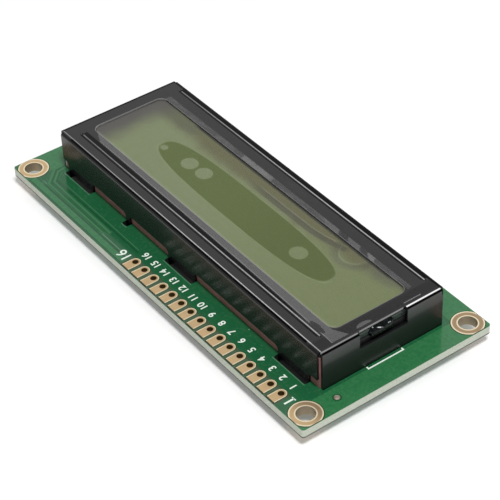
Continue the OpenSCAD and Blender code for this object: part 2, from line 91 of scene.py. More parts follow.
backward = Vector((math.sin(AROUND) * math.cos(UP), -math.cos(AROUND) * math.cos(UP), math.sin(UP)))
right = Vector((math.cos(AROUND), math.sin(AROUND), 0))
upward = backward.cross(right)
tilted_right = math.cos(ROLL) * right + math.sin(ROLL) * upward
tilted_up = math.cos(ROLL) * upward - math.sin(ROLL) * right

lens = bpy.data.cameras.new("camera")
lens.lens, lens.sensor_width = LENS, SENSOR
lens.shift_x, lens.shift_y = SHIFT
camera = bpy.data.objects.new("camera", lens)
turn = Matrix((tilted_right, tilted_up, backward)).transposed().to_4x4()
camera.matrix_world = Matrix.Translation((AIM + backward * DISTANCE) * MM) @ turn
bpy.context.collection.objects.link(camera)
bpy.context.scene.camera = camera
print("camera at", [round(v, 4) for v in camera.matrix_world.translation])

# %% [markdown]
# Black gloss paint shows its lights more than its colour, so the lights are placed by what each face mirrors.
# A large soft box stands where the flat top of the bezel mirrors it, and greys the top evenly.
# The key lamp stands where no face mirrors it, and gives the diffuse light. The rest of the room is dim, so
# the folds stay dark, and painted shade darkens the lines beside them further. The white floor comes back as
# the soft sheen on the bezel's end, and a painted sheen adds to it on the end wall's upper part.

# %% Surround and lamps
SURROUND = 0.33
LAMPS = {
    "mirrored_softbox": dict(toward=(-0.629, 0.448, 0.635), away=800, size=700, power=0.55),
    "key_lamp": dict(toward=(0.35, -0.10, 0.93), away=1000, size=280, power=7.9),
}


def lamp(name, toward, away, size, power):
    """A round lamp that faces the middle of the board from a direction and a distance."""
    light = bpy.data.lights.new(name, "AREA")
    light.shape, light.size, light.energy = "DISK", size * MM, power
    holder = bpy.data.objects.new(name, light)
    direction = Vector(toward).normalized()
    holder.location = direction * away * MM
    holder.rotation_euler = direction.to_track_quat("Z", "Y").to_euler()
    bpy.context.collection.objects.link(holder)
    print(name, "at", [round(v, 3) for v in holder.location])


for name, settings in LAMPS.items():
    lamp(name, **settings)

world = bpy.data.worlds.new("surround")
world.use_nodes = True
background = world.node_tree.nodes["Background"]
background.inputs["Color"].default_value = (1, 1, 1, 1)
background.inputs["Strength"].default_value = SURROUND
bpy.context.scene.world = world
bpy.context.scene.view_settings.view_transform = "Standard"

# %% [markdown]
# Shader maths can be wired by hand, one Math node a sum, but it reads best as a plain expression.
# Wire wraps the output of one shader node, and its signs add the Math nodes that do the sum.

# %% Wires
class Wire:
    """One output of a shader node. Python's signs on it make Math nodes."""

    def __init__(self, finish, socket):
        self.finish, self.socket = finish, socket

    def __add__(self, other):
        return self.finish.maths("ADD", self, other)

    def __sub__(self, other):
        return self.finish.maths("SUBTRACT", self, other)

    def __rsub__(self, other):
        return self.finish.maths("SUBTRACT", other, self)

    def __mul__(self, other):
        return self.finish.maths("MULTIPLY", self, other)

    def __truediv__(self, other):
        return self.finish.maths("DIVIDE", self, other)

    def __pow__(self, other):
        return self.finish.maths("POWER", self, other)

    def __abs__(self):
        return self.finish.maths("ABSOLUTE", self)

    __radd__, __rmul__ = __add__, __mul__


# %% [markdown]
# A finish is one material. It reads the place on the piece in millimetres, so a pattern is written with the
# same sizes as the piece. Every node comes from the method `node`, and `set` fills the Principled shader.

# %% Nodes of a finish
class Nodes:
    """One material, with its Principled shader and the place on the piece in millimetres."""

    def __init__(self, name):
        self.material = bpy.data.materials.new(name)
        self.material.use_nodes = True
        self.tree = self.material.node_tree
        self.shader = self.tree.nodes["Principled BSDF"]
        here = self.node("TexCoord", out="Object")
        self.place = self.node("VectorMath", {"operation": "SCALE"}, {0: here, "Scale": 1 / MM})
        split = self.node("SeparateXYZ", sockets={0: self.place})
        self.x, self.y, self.z = (Wire(self, split.socket.node.outputs[i]) for i in range(3))

    def feed(self, socket, value):
        if isinstance(value, Wire):
            self.tree.links.new(value.socket, socket)
        elif socket.type == "RGBA" and len(value) == 3:
            socket.default_value = (*value, 1)
        else:
            socket.default_value = value

    def node(self, kind, settings=None, sockets=None, out=0):
        made = self.tree.nodes.new("ShaderNode" + kind)
        for name, value in (settings or {}).items():
            setattr(made, name, value)
        for name, value in (sockets or {}).items():
            self.feed(made.inputs[name], value)
        return Wire(self, made.outputs[out])

    def maths(self, operation, *values):
        return self.node("Math", {"operation": operation}, dict(enumerate(values)))

    def set(self, **sockets):
        for name, value in sockets.items():
            self.feed(self.shader.inputs[name.replace("_", " ")], value)

    def wear(self, *nodes):
        """Put this finish on nodes of the frame."""
        for name in nodes:
            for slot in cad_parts[name].material_slots:
                slot.material = self.material
        print(self.material.name, "on", ", ".join(nodes))


# %% [markdown]
# The window is a rounded rectangle, and several patterns follow its edge. One rule gives the distance to it.
# The rule is written once for wires and for plain numbers, because the shape of the film needs it too, so it
# is told what finds the larger, the smaller and the length.

# %% Distance from a rounded rectangle
def past_edge(x, y, shape, most, least, length):
    """Distance in millimetres past the edge of an upright rounded rectangle, negative inside."""
    half_x = (shape["right"] - shape["left"]) / 2 - shape["corner"]
    half_y = (shape["far"] - shape["near"]) / 2 - shape["corner"]
    over_x = abs(x - (shape["right"] + shape["left"]) / 2) - half_x
    over_y = abs(y - (shape["far"] + shape["near"]) / 2) - half_y
    beyond = length(most(over_x, 0.0), most(over_y, 0.0))
    return beyond + least(most(over_x, over_y), 0.0) - shape["corner"]


# %% [markdown]
# The finishes share a few shapes: a soft step, a band, a stripe and a round spot, with cloudy noise to break
# them up. Each could be a node group, but a method is shorter to read and to change.

# %% Shapes and noise of a finish
class Finish(Nodes):
    """A material with the shapes and the noise that its patterns are drawn with."""

    def ramp(self, value, low, high):
        """0 below low and 1 above high, with a soft step between; low may be the larger."""
        return self.node("MapRange", {"interpolation_type": "SMOOTHSTEP"},
                         {"Value": value, "From Min": low, "From Max": high})

    def band(self, value, low, high, soft=0.08):
        """1 between low and high, fading out over soft millimetres on each side."""
        return self.ramp(value, low - soft, low) * self.ramp(value, high + soft, high)

    def stripe(self, value, middle, full, gone):
        """1 up to full millimetres from the middle, 0 from gone millimetres on."""
        return self.ramp(abs(value - middle), gone, full)

    def spot(self, x, y, radius, soft=0.06, long=1.0):
        """1 inside a circle, or an oval that is long times its radius along X."""
        return self.ramp(self.length((self.x - x) / long, self.y - y), radius + soft, radius - soft)

    def outside(self, shape):
        return past_edge(self.x, self.y, shape, self.most, self.least, self.length)

    def length(self, a, b):
        return (a * a + b * b) ** 0.5

    def least(self, a, b):
        return self.maths("MINIMUM", a, b)

    def most(self, a, b):
        return self.maths("MAXIMUM", a, b)

    def blend(self, first, second, share):
        """One colour going over to another where share goes from 0 to 1."""
        return self.node("Mix", {"data_type": "RGBA"}, {0: share, 6: first, 7: second}, out=2)

    def grain(self, size, detail=3.0, stretch=(1, 1, 1)):
        """Cloudy noise from 0 to 1 with spots of about size millimetres."""
        spots = self.node("VectorMath", {"operation": "MULTIPLY"}, {0: self.place, 1: stretch})
        return self.node("TexNoise", sockets={"Vector": spots, "Scale": 1 / size, "Detail": detail})

    def bump(self, height, depth, strength=1.0, below=None):
        """Tilt the surface by a height from 0 to 1 that stands for depth millimetres."""
        sockets = {"Height": height, "Distance": depth * MM, "Strength": strength}
        if below:
            sockets["Normal"] = below
        return self.node("Bump", sockets=sockets)


# %% [markdown]
# The board is glass fibre laminate with a clear green mask over its copper. Where copper lies under the mask
# it looks lighter. The copper could be drawn as geometry, but a pour is flat and hidden, so its outline is
# enough: a pour runs along each side of the board, and the mask has a pale rim beside each slot.

# %% Copper under the mask
POUR_END_X, POUR_FAR_Y, POUR_LEFT_X = 35.85, 13.75, -35.2
POUR_NEAR_Y = (-17.5, -16.6)
TRACKS_X = (-34.2, -8.0)
NEAR_RIM_Y, SLOT_RIM_Y = -15.98, -12.08
SLOTS_X = ((-33.0, -25.4), (-15.8, -14.4), (-3.7, 3.9), (25.0, 32.7))


def copper_under_mask(m):
    """1 where a copper pour lies under the mask."""
    end = m.ramp(m.x, POUR_END_X - 0.05, POUR_END_X + 0.05)
    far = m.ramp(m.y, POUR_FAR_Y - 0.05, POUR_FAR_Y + 0.05)
    left = m.ramp(m.x, POUR_LEFT_X + 0.1, POUR_LEFT_X - 0.1)
    near = m.band(m.y, *POUR_NEAR_Y, 0.1) * m.ramp(m.x, TRACKS_X[1] + 1.2, TRACKS_X[1])
    return m.most(m.most(end, far), m.most(left, near))


def pale_rims(m):
    """Half strength on the pale rims of the mask: beside each slot and along the near copper."""
    slots = 0.0
    for x in SLOTS_X:
        slots = m.band(m.x, *x, 0.15) + slots
    slots = slots * m.stripe(m.y, SLOT_RIM_Y, 0.04, 0.10)
    near = m.ramp(m.x, TRACKS_X[1] + 0.6, TRACKS_X[1]) * m.ramp(m.x, TRACKS_X[0], TRACKS_X[0] + 1.5)
    near = near * m.stripe(m.y, NEAR_RIM_Y, 0.05, 0.12)
    return m.most(slots * 0.5, near * 0.5)


# %% [markdown]
# Each pad and hole has a dark ring, because the mask stops a little short of it and bare laminate shows.
# The same dark runs in thin troughs between the tracks at the near edge. The distances to the pads are worked
# out here with a folded coordinate, so sixteen pads cost hardly more nodes than one.

# %% Gaps in the mask
TROUGHS_Y, EDGE_TROUGH_Y = (-14.15, -16.40), -17.62
FAINT_SPOT = dict(x=35.8, y=-2.0, radius=0.42, soft=0.15)


def pin_offset(m):
    """Distance along X from the nearest header hole, found by folding X back and forth at half a pitch."""
    return m.maths("PINGPONG", m.x - FIRST_PIN, PITCH / 2)


def pad_distance(m):
    """Distance from the centre line of the nearest header pad, which runs from its hole to the edge."""
    return m.length(pin_offset(m), m.most(m.y - PIN_Y, 0.0))


def ring_distance(m):
    """Distance from the middle of the nearest corner hole."""
    return m.length(abs(m.x) - HOLE_X, abs(m.y) - HOLE_Y)


def in_pin_row(m):
    last = FIRST_PIN - PITCH * (PIN_COUNT - 0.5)
    return m.band(m.x, last, FIRST_PIN + PITCH / 2, 0.1)


def mask_gaps(m):
    """1 where the mask stops short of a pad, a ring or the via, and less in the troughs."""
    gap = m.most(in_pin_row(m) * m.ramp(pad_distance(m), 1.02, 0.94), m.ramp(ring_distance(m), 2.80, 2.68))
    gap = m.most(gap, m.spot(VIA["x"], VIA["y"], VIA["radius"] + 0.2) * 0.7)
    gap = m.most(gap, m.spot(**FAINT_SPOT) * 0.4)
    trough = m.most(*(m.stripe(m.y, y, 0.08, 0.16) for y in TROUGHS_Y)) * m.ramp(m.x, -33.0, -31.5)
    trough = m.most(trough, m.stripe(m.y, EDGE_TROUGH_Y, 0.05, 0.10))
    return m.most(gap, trough * m.ramp(m.x, TRACKS_X[1] + 0.6, TRACKS_X[1]) * 0.45)


# %% [markdown]
# The mask is clouded and mottled, a little yellower between the pads, and carries a few specks of dust.
# The cut sides show the pale laminate with its layers of fibre, and the walls of the slots are painted
# black: painted shade.
# One material does both, and tells a face from a side by its normal.

# %% Solder mask
MASK_ON_COPPER, MASK_ON_LAMINATE = (0.030, 0.170, 0.060), (0.010, 0.100, 0.036)
MASK_CLOUDED, MASK_BETWEEN_PADS = (0.026, 0.15, 0.055), (0.036, 0.075, 0.030)
MASK_GAP, MASK_RIM, DUST = (0.004, 0.026, 0.011), (0.17, 0.31, 0.20), (0.45, 0.62, 0.50)
LAMINATE, LAMINATE_DARK, LAMINATE_GREEN = (0.56, 0.60, 0.50), (0.14, 0.14, 0.115), (0.38, 0.44, 0.33)
LOWER_EDGE, SLOT_SHADE = (0.05, 0.05, 0.045), (0.004, 0.004, 0.005)


def mask_colour(m, cloud, top):
    copper = copper_under_mask(m)
    colour = m.blend(MASK_ON_LAMINATE, MASK_ON_COPPER, copper * (cloud * 0.3 + 0.75))
    colour = m.blend(colour, MASK_CLOUDED, (1 - copper) * m.ramp(cloud, 0.45, 0.8) * 0.4)
    between = in_pin_row(m) * m.ramp(m.y, PIN_Y + 0.95, PIN_Y + 0.75)
    colour = m.blend(colour, MASK_BETWEEN_PADS, between * top)
    colour = m.blend(colour, MASK_RIM, pale_rims(m) * top)
    mottle = m.grain(0.45, 5.0)
    colour = m.blend(colour, MASK_RIM, m.ramp(mottle, 0.50, 0.75) * 0.10)
    colour = m.blend(colour, MASK_ON_LAMINATE, m.ramp(mottle, 0.50, 0.30) * 0.35)
    colour = m.blend(colour, MASK_GAP, mask_gaps(m))
    specks = m.node("TexVoronoi", sockets={"Vector": m.place, "Scale": 0.17})
    return m.blend(colour, DUST, m.ramp(specks, 0.020, 0.012) * top)


def cut_colour(m, fibre):
    layers = m.grain(0.5, 2.0, (0.1, 0.1, 3.0))
    cut = m.blend(LAMINATE, LAMINATE_DARK, m.ramp(fibre, 0.52, 0.75) * 0.35)
    cut = m.blend(cut, LAMINATE_GREEN, m.ramp(layers, 0.45, 0.7) * 0.35)
    cut = m.blend(cut, LOWER_EDGE, m.ramp(m.z, BOARD_BACK + 0.30, BOARD_BACK + 0.18) * 0.9)
    cut = m.blend(cut, MASK_ON_COPPER, m.ramp(m.z, BOARD_TOP - 0.12, BOARD_TOP - 0.04))
    # Painted shade: cut sides inside the board's outline, such as the slot walls, are nearly black.
    outer_x = m.ramp(abs(m.x), BOARD_HIGH[0] - 0.8, BOARD_HIGH[0] - 0.6)
    outer_y = m.ramp(abs(m.y), BOARD_HIGH[1] - 0.8, BOARD_HIGH[1] - 0.6)
    return m.blend(SLOT_SHADE, cut, m.most(outer_x, outer_y))


def solder_mask():
    m = Finish("green_mask")
    normal = m.node("SeparateXYZ", sockets={0: m.node("TexCoord", out="Normal")}, out=2)
    face = m.ramp(abs(normal), 0.5, 0.8)
    cloud = m.grain(6.0, 4.0)
    fibre = m.grain(0.12, 3.0, (0.25, 0.25, 1.0))
    weave = m.node("TexVoronoi", {"feature": "SMOOTH_F1"}, {"Vector": m.place, "Scale": 1.6})
    colour = mask_colour(m, cloud, m.ramp(normal, 0.5, 0.8))
    m.set(Base_Color=m.blend(cut_colour(m, fibre), colour, face))
    m.set(Roughness=0.60 - face * 0.48 + cloud * 0.04, Specular_IOR_Level=0.5)
    m.set(Normal=m.bump(fibre, 0.03, 0.12, m.bump(weave, 0.02, 0.12)))
    m.wear("circuit_board")


solder_mask()

# %% [markdown]
# The pads are copper with nickel and a flash of gold. The plating has a fine matt grain. The rounded rim of
# each pad, where it turns down to the laminate, carries a painted highlight, and inside a hole, where it gets
# little light, the plating is painted darker: painted shade. One function makes the three gold finishes, and
# each is told its own rims and holes.

# %% Gold plating
GOLD, GOLD_HIGHLIGHT = (0.66, 0.465, 0.25), (0.95, 0.83, 0.58)
GOLD_DULL, GOLD_DARK_REFLECTION = (0.55, 0.38, 0.195), (0.34, 0.23, 0.14)
GOLD_IN_PIN_HOLE, GOLD_IN_CORNER_HOLE = (0.12, 0.070, 0.020), (0.34, 0.28, 0.19)


def gold_plating(name, rim, hole=None, hole_colour=GOLD, dark_reflection=None):
    m = Finish(name)
    cloud = m.grain(1.3, 4.0)
    dust = m.grain(0.08, 2.0)
    colour = m.blend(GOLD, GOLD_DULL, m.ramp(cloud, 0.45, 0.8) * 0.5)
    # Painted reflection of something dark, on the ring by the first pin.
    if dark_reflection:
        colour = m.blend(colour, GOLD_DARK_REFLECTION, dark_reflection(m))
    # Painted highlight on the rounded rim of the plating.
    colour = m.blend(colour, GOLD_HIGHLIGHT, rim(m))
    # Painted shade: the plating inside a hole gets little light, so it is darker.
    if hole:
        colour = m.blend(colour, hole_colour, hole(m))
    m.set(Base_Color=colour, Metallic=0.5, Roughness=0.34 + cloud * 0.16)
    m.set(Normal=m.bump(dust, 0.01, 0.2))
    return m


# %% [markdown]
# A header pad has its painted highlight along its outline, a corner ring along both of its edges. The contact
# fingers are hidden under the silicone strips, so cloudy spots of the painted highlight do for their rims.

# %% Rims and holes of the pads
PAD_HALF, PIN_HOLE = 0.80, 0.50
RING_OUTER, RING_INNER, CORNER_HOLE = 2.45, 1.66, 1.50


def header_rim(m):
    return m.ramp(pad_distance(m), PAD_HALF - 0.08, PAD_HALF)


def header_hole(m):
    return m.ramp(m.length(pin_offset(m), m.y - PIN_Y), PIN_HOLE + 0.04, PIN_HOLE)


def ring_rim(m):
    ring = ring_distance(m)
    return m.most(m.ramp(ring, RING_OUTER - 0.15, RING_OUTER), m.ramp(ring, RING_INNER + 0.12, RING_INNER))


def ring_hole(m):
    return m.ramp(ring_distance(m), CORNER_HOLE + 0.04, CORNER_HOLE)


def ring_browned(m):
    """Painted reflection: the ring by the first pin is painted browner towards the display, where it mirrors
    something dark.
    """
    return m.ramp(m.x, 30.0, 34.0) * m.ramp(m.y - m.x * 0.3, -28.5, -25.0) * 0.8


def finger_rim(m):
    return m.ramp(m.grain(0.6), 0.55, 0.8) * 0.4


gold_plating("header_gold", header_rim, header_hole, GOLD_IN_PIN_HOLE).wear("header_pads")
gold_plating("ring_gold", ring_rim, ring_hole, GOLD_IN_CORNER_HOLE, ring_browned).wear("mounting_pads")
gold_plating("finger_gold", finger_rim).wear("contact_fingers")

# %% [markdown]
# The bezel is sheet steel, folded and then dipped in gloss black. Its sharp folds catch the light, and these
# lights are painted: a grey painted highlight along the near crease, along one lip of each groove and round
# the window, and a nearly white one on the end crease. Each line is a narrow stripe at the place of its fold,
# broken up by noise.

# %% Painted highlights on the folds
NEAR_CREASE_Y, END_CREASE_X = -10.44, 34.86
LIPS_Y, GROOVES_X = (-8.36, 11.56), (-31.7, 31.7)
NOTCH_Y = (-3.73, 5.37)


def thin_paint(m, breakup):
    """1 on the painted highlights: round the window, along the near crease and along the grooves' lips."""
    left = m.ramp(m.x, -31.0, -31.4)
    depth = m.ramp(m.z, BEZEL_TOP - 0.28, BEZEL_TOP - 0.20)
    rim = m.ramp(m.outside(WINDOW), 0.12, 0.04) * depth
    rim = rim * m.most(m.ramp(m.z, BEZEL_TOP - 0.10, BEZEL_TOP - 0.04), left)
    highlight = rim * (m.ramp(breakup, 0.25, 0.5) * 0.15 + 0.18 + left * 0.2)
    highlight_strength = (m.ramp(m.x, -34.0, 8.0) * 0.5 + 0.5) * (m.ramp(breakup, 0.2, 0.6) * 0.3 + 0.7)
    crease = m.stripe(m.y, NEAR_CREASE_Y, 0.05, 0.12) * m.band(m.x, -34.7, 34.6)
    highlight = m.most(highlight, crease * highlight_strength)
    for y in LIPS_Y:
        lip = m.stripe(m.y, y, 0.04, 0.09) * m.band(m.x, *GROOVES_X, 0.2)
        highlight = m.most(highlight, lip * highlight_strength)
    notch = m.stripe(m.x, END_CREASE_X - 0.16, 0.03, 0.08) * m.band(m.y, NOTCH_Y[0] + 0.4, NOTCH_Y[1] - 0.4)
    return m.most(highlight, notch * 0.5)


def worn_crease(m):
    """1 on the end crease's painted highlight beyond the notch, a quarter on the near side of it."""
    end = m.stripe(m.x, END_CREASE_X, 0.08, 0.18)
    far = end * m.band(m.y, NOTCH_Y[1] + 0.1, 12.2)
    near = end * m.band(m.y, -10.6, NOTCH_Y[0] - 0.1)
    return far + near * 0.25


# %% [markdown]
# Beside each fold, and along the edges that turn away, there is a dark line of painted shade. Bump could
# tilt the paint there, but the soft box is so large that a slight tilt still mirrors it. A black metallic
# surface mirrors next to nothing from in front, so Metallic is raised towards 1 on these lines.

# %% Painted shade beside the folds
RUNS_Y = (-8.72, 11.22, 11.86, -10.70)
LEFT_EDGE_X, FAR_EDGE_Y = -34.55, 11.96
FILM_NEAR = dict(start=-28.0, run=62.0, y=-7.45, bow=0.62)


def film_edge(m):
    """Distance of a place from the near edge of the protective film, positive under the film."""
    bend = (m.x - FILM_NEAR["start"]) / FILM_NEAR["run"]
    return m.y - FILM_NEAR["y"] + bend * bend * bend * FILM_NEAR["bow"]


def dark_lines(m, on_top):
    """Painted shade: 1 beside the folds and grooves, the film's near edge and the left and far edges."""
    beside_film = m.ramp(film_edge(m), -0.04, -0.14) * m.ramp(m.y, -8.36, -8.24) * m.ramp(m.x, 29.0, 24.0)
    lines = beside_film * 0.85
    for y in RUNS_Y:
        lines = m.most(lines, m.stripe(m.y, y, 0.13, 0.25))
    lines = lines * m.band(m.x, -31.8, 31.6, 0.3)
    beside_end = m.band(m.x, 35.05, 35.25, 0.05)
    left = m.ramp(m.x, LEFT_EDGE_X, LEFT_EDGE_X - 0.13)
    edges = m.most(left, m.ramp(m.y, FAR_EDGE_Y, FAR_EDGE_Y + 0.1))
    return m.most(m.most(lines, beside_end) * on_top, edges)


# %% [markdown]
# The black itself is nearly even. It is a little hazy with dust on top and where the left end of the near
# wall was rubbed, and the upper part of the end wall has a painted sheen. The tabs are painted unlit inside
# the board's slots: painted shade.

# %% Black paint on steel
PAINT, PAINT_DUST_AND_SHEEN = (0.008, 0.0075, 0.0085), (0.040, 0.042, 0.041)
PAINT_HIGHLIGHT, PAINT_BRIGHT_HIGHLIGHT, PAINT_UNLIT = (0.46, 0.46, 0.455), (0.85, 0.86, 0.85), (0.001, 0.001, 0.001)
END_WALL_X = 35.1


def paint_haze(m, on_top, end_wall, smear):
    """How dusty or rubbed the black is, with a painted sheen on the upper part of the end wall."""
    # Painted sheen on the upper part of the end wall; the rest is dust and rubbing.
    end = end_wall * m.ramp(m.z, BOARD_TOP + 4.4, BOARD_TOP + 5.2) * (1 - on_top * 0.5)
    rubbed = m.band(m.x, -32.7, -29.4, 0.8) * m.band(m.z, BOARD_TOP + 4.2, BOARD_TOP + 5.3, 0.6)
    dust = m.ramp(smear, 0.5, 0.8) * 0.15 + m.ramp(m.grain(0.28, 3.0), 0.45, 0.75) * 0.16
    dust = dust * on_top * m.ramp(m.x, 33.0, 30.5)
    return m.most(end * 0.8, rubbed * (1 - on_top) * 0.5) + dust


def black_paint():
    m = Finish("black_paint")
    peel = m.grain(0.35, 2.0)
    smear = m.grain(5.0, 4.0, (1, 2.2, 1))
    on_top = m.ramp(m.z, BEZEL_TOP - 0.35, BEZEL_TOP - 0.25)
    end_wall = m.ramp(m.x, END_WALL_X, END_WALL_X + 0.1)
    highlight = thin_paint(m, m.grain(0.5, 3.0))
    colour = m.blend(PAINT, PAINT_DUST_AND_SHEEN, paint_haze(m, on_top, end_wall, smear))
    # Painted highlights: grey on the folds and lips, nearly white on the end crease.
    colour = m.blend(colour, PAINT_HIGHLIGHT, highlight * on_top)
    colour = m.blend(colour, PAINT_BRIGHT_HIGHLIGHT, worn_crease(m) * on_top)
    in_slot = m.band(m.z, BOARD_BACK + 0.5, BOARD_TOP + 0.05, 0.25)
    high = m.ramp(m.z, BEZEL_TOP - 1.2, BEZEL_TOP - 0.9)
    # Painted shade: unlit black with Metallic raised, beside the folds, in the slots, faintly by the notch.
    dark = m.most(dark_lines(m, on_top) * high * (1 - highlight) * 0.9, in_slot)
    dark = m.most(dark, m.band(m.x, 32.6, 34.3, 0.4) * on_top * 0.25)
    rough = (end_wall * 0.04 + 0.03) * (1 - on_top) - on_top * 0.03 + smear * 0.08 + 0.19
    m.set(Base_Color=m.blend(colour, PAINT_UNLIT, dark), Roughness=rough, Metallic=dark)
    m.set(Normal=m.bump(peel, 0.008, 0.10), Specular_IOR_Level=0.5)
    m.wear("bezel")


black_paint()

# %% [markdown]
# The display looks olive green: light from the diffuser behind passes two polarizers and the liquid crystal.
# The front polarizer is glossy. Where the protective film clings to it there is no air between them, so that
# patch loses one reflection and looks darker. It is an oval with a few round bubbles of air left in it.

# %% The clinging patch
PATCH = dict(x=0.45, y=0.88, half_x=22.15, half_y=3.42, power=2.9)
BUBBLES = ((-20.7, 0.32, 0.66), (-14.4, 1.03, 1.43), (-10.75, 1.29, 1.42), (14.74, 0.92, 1.44))
PATCH_SOFT, BUBBLE_LONG = 0.03, 1.1


def patch_level(x, y):
    """0 in the middle of the patch, 1 on its outline, for wires and for plain numbers."""
    along = abs(x - PATCH["x"]) / PATCH["half_x"]
    across = abs(y - PATCH["y"]) / PATCH["half_y"]
    return along ** PATCH["power"] + across ** PATCH["power"]


def clinging(m):
    """1 where the film clings to the polarizer, 0 over air."""
    oval = m.ramp(patch_level(m.x, m.y), 1 + PATCH_SOFT, 1 - PATCH_SOFT)
    for x, y, radius in BUBBLES:
        oval = oval * (1 - m.spot(x, y, radius, 0.06, BUBBLE_LONG))
    return oval


# %% [markdown]
# Along the far side of the window the film lifts in two blisters, and beside them the display is painted
# browner and darker: painted shade. The left end is greyer. The two distances are shared: the polarizer
# draws the shade with them and the film draws its painted highlights on the creases.

# %% Blisters and shade
FIRST_BLISTER = dict(left=-1.0, right=17.2, low=6.15, rise=0.9, from_x=10.0)
SECOND_BLISTER = dict(x=20.4, y=7.7, radius=2.75)


def first_blister(m):
    """Height of the place above the first blister's lower edge in millimetres."""
    climb = m.most(m.x - FIRST_BLISTER["from_x"], 0.0) / (FIRST_BLISTER["right"] - FIRST_BLISTER["from_x"])
    return m.y - FIRST_BLISTER["low"] - climb * climb * FIRST_BLISTER["rise"]


def second_blister(m):
    """Distance outside the second blister's edge in millimetres."""
    return m.length(m.x - SECOND_BLISTER["x"], m.y - SECOND_BLISTER["y"]) - SECOND_BLISTER["radius"]


def under_first(m):
    """1 in the painted shadow, a dark band below the first blister."""
    left, right = FIRST_BLISTER["left"], FIRST_BLISTER["right"]
    band = m.band(first_blister(m), -0.8, -0.12, 0.4) * m.ramp(m.x, left - 6.0, left + 3.0)
    return band * m.ramp(m.x, right + 2.5, right + 1.0)


def round_second(m):
    """1 in the painted shadow, a dark ring round the second blister."""
    beyond = second_blister(m)
    return m.ramp(beyond, -0.05, 0.12) * m.ramp(beyond, 1.8, 0.5)


def far_shade(m, cloud):
    """1 in the painted shade along the far side of the window, fading towards the middle."""
    reach = m.ramp(m.x, 32.0, 18.0) * 1.9
    return m.ramp(m.y + (cloud - 0.5) * 2.4 + reach, 5.7, 8.4)


def left_shade(m, cloud):
    return m.ramp(m.x + (cloud - 0.5) * 2.2, -26.2, -31.6)


# %% [markdown]
# The polarizer's colours were matched against the photograph: yellower at the right, greyer at the left.
# Its gloss is a clear coat over a matt base, so that the coat alone can be taken away: in the clinging
# patch and in the shade.

# %% Display
OLIVE, OLIVE_DEEP = (0.093, 0.125, 0.034), (0.078, 0.104, 0.023)
OLIVE_LEFT, OLIVE_RIGHT = (0.134, 0.170, 0.058), (0.104, 0.136, 0.026)
PATCH_RIM_HIGHLIGHT, SHADE_LEFT = (0.16, 0.23, 0.07), (0.062, 0.058, 0.050)
SHADE_FAR_LEFT, SHADE_FAR_RIGHT = (0.080, 0.082, 0.044), (0.078, 0.082, 0.048)
SHADE_FAR, SHADE_BAND, SHADE_DARK = (0.094, 0.088, 0.034), (0.040, 0.042, 0.017), (0.022, 0.022, 0.010)


def lit_colour(m, wet):
    """Colour of the display before any shade, wet or dry."""
    dry = m.blend(OLIVE_LEFT, OLIVE_RIGHT, m.ramp(m.x, -12.0, 30.0))
    # Painted highlight along the near half of the clinging patch's outline.
    rim = m.stripe(patch_level(m.x, m.y), 1.05, 0.01, 0.05) * m.ramp(m.y, 1.5, -0.5)
    colour = m.blend(dry, m.blend(OLIVE, OLIVE_DEEP, m.ramp(m.x, -8.0, 16.0)), wet)
    return m.blend(colour, PATCH_RIM_HIGHLIGHT, rim * 0.35)


def far_colour(m):
    """Colour along the window's far side, from its left end to its right."""
    colour = m.blend(SHADE_FAR_LEFT, SHADE_FAR, m.ramp(m.x, -22.0, -19.0))
    return m.blend(colour, SHADE_FAR_RIGHT, m.ramp(m.x, 22.0, 27.0))


def far_rim(m):
    """1 in the painted shadow, a dark line right under the window's far edge."""
    edge = m.outside(WINDOW) + m.grain(0.6) * 0.25
    return m.ramp(edge, -0.40, 0.0) * m.ramp(m.y, 6.8, 7.6) * m.band(m.x, -21.0, 27.0, 2.0)


def polarizer(name, node):
    m = Finish(name)
    cloud = m.grain(4.0, 3.0)
    wet, rim, under = clinging(m), far_rim(m), under_first(m)
    far, left = far_shade(m, cloud), left_shade(m, cloud)
    colour = m.blend(lit_colour(m, wet), far_colour(m), far * 0.85)
    # Painted shadows below the first blister and round the second.
    colour = m.blend(colour, SHADE_BAND, m.most(under * 0.75, round_second(m) * 0.45))
    mottle = m.grain(0.7, 4.0, (1, 1.6, 1))
    colour = m.blend(colour, SHADE_BAND, m.ramp(mottle, 0.45, 0.75) * 0.10)
    # Painted shadow right under the window's far edge.
    colour = m.blend(colour, SHADE_DARK, rim)
    # The coat is taken away in the painted shade as well as in the clinging patch.
    dull = m.most(rim, m.most(m.most(under * 0.5, far * 0.8), left * 0.8))
    m.set(Base_Color=m.blend(colour, SHADE_LEFT, left), Roughness=0.5, Specular_IOR_Level=0.0)
    m.set(Coat_Weight=(1 - wet) * (1 - dull), Coat_Roughness=0.12, Coat_IOR=1.5)
    m.wear(node)


polarizer("front_polarizer_finish", "front_polarizer")
polarizer("rear_polarizer_finish", "rear_polarizer")

# %% [markdown]
# The rest of the cell is clear or milky: cut glass with a green cast, glue that has crept along its edge and
# the thin layer of liquid crystal. All three let some light through, the same all over, so transmission is a
# number on the shader's own socket.

# %% Glass, glue and crystal
THROUGH = 0.3


def clear(name, colour, roughness, *nodes):
    m = Finish(name)
    cloud = m.grain(0.8, 3.0)
    m.set(Base_Color=m.blend(colour, [v * 0.8 for v in colour], m.ramp(cloud, 0.4, 0.7)))
    m.set(Roughness=roughness + cloud * 0.08, Transmission_Weight=THROUGH, IOR=1.5)
    m.set(Normal=m.bump(cloud, 0.02, 0.2))
    m.wear(*nodes)


# Painted shade: the cut glass is nearly black, as its edges stand in the dark of the notch.
clear("cut_glass", (0.050, 0.062, 0.057), 0.10, "front_glass", "rear_glass")
clear("cell_glue", (0.30, 0.32, 0.28), 0.25, "cell_seal")
clear("crystal", (0.30, 0.36, 0.20), 0.30, "liquid_crystal")

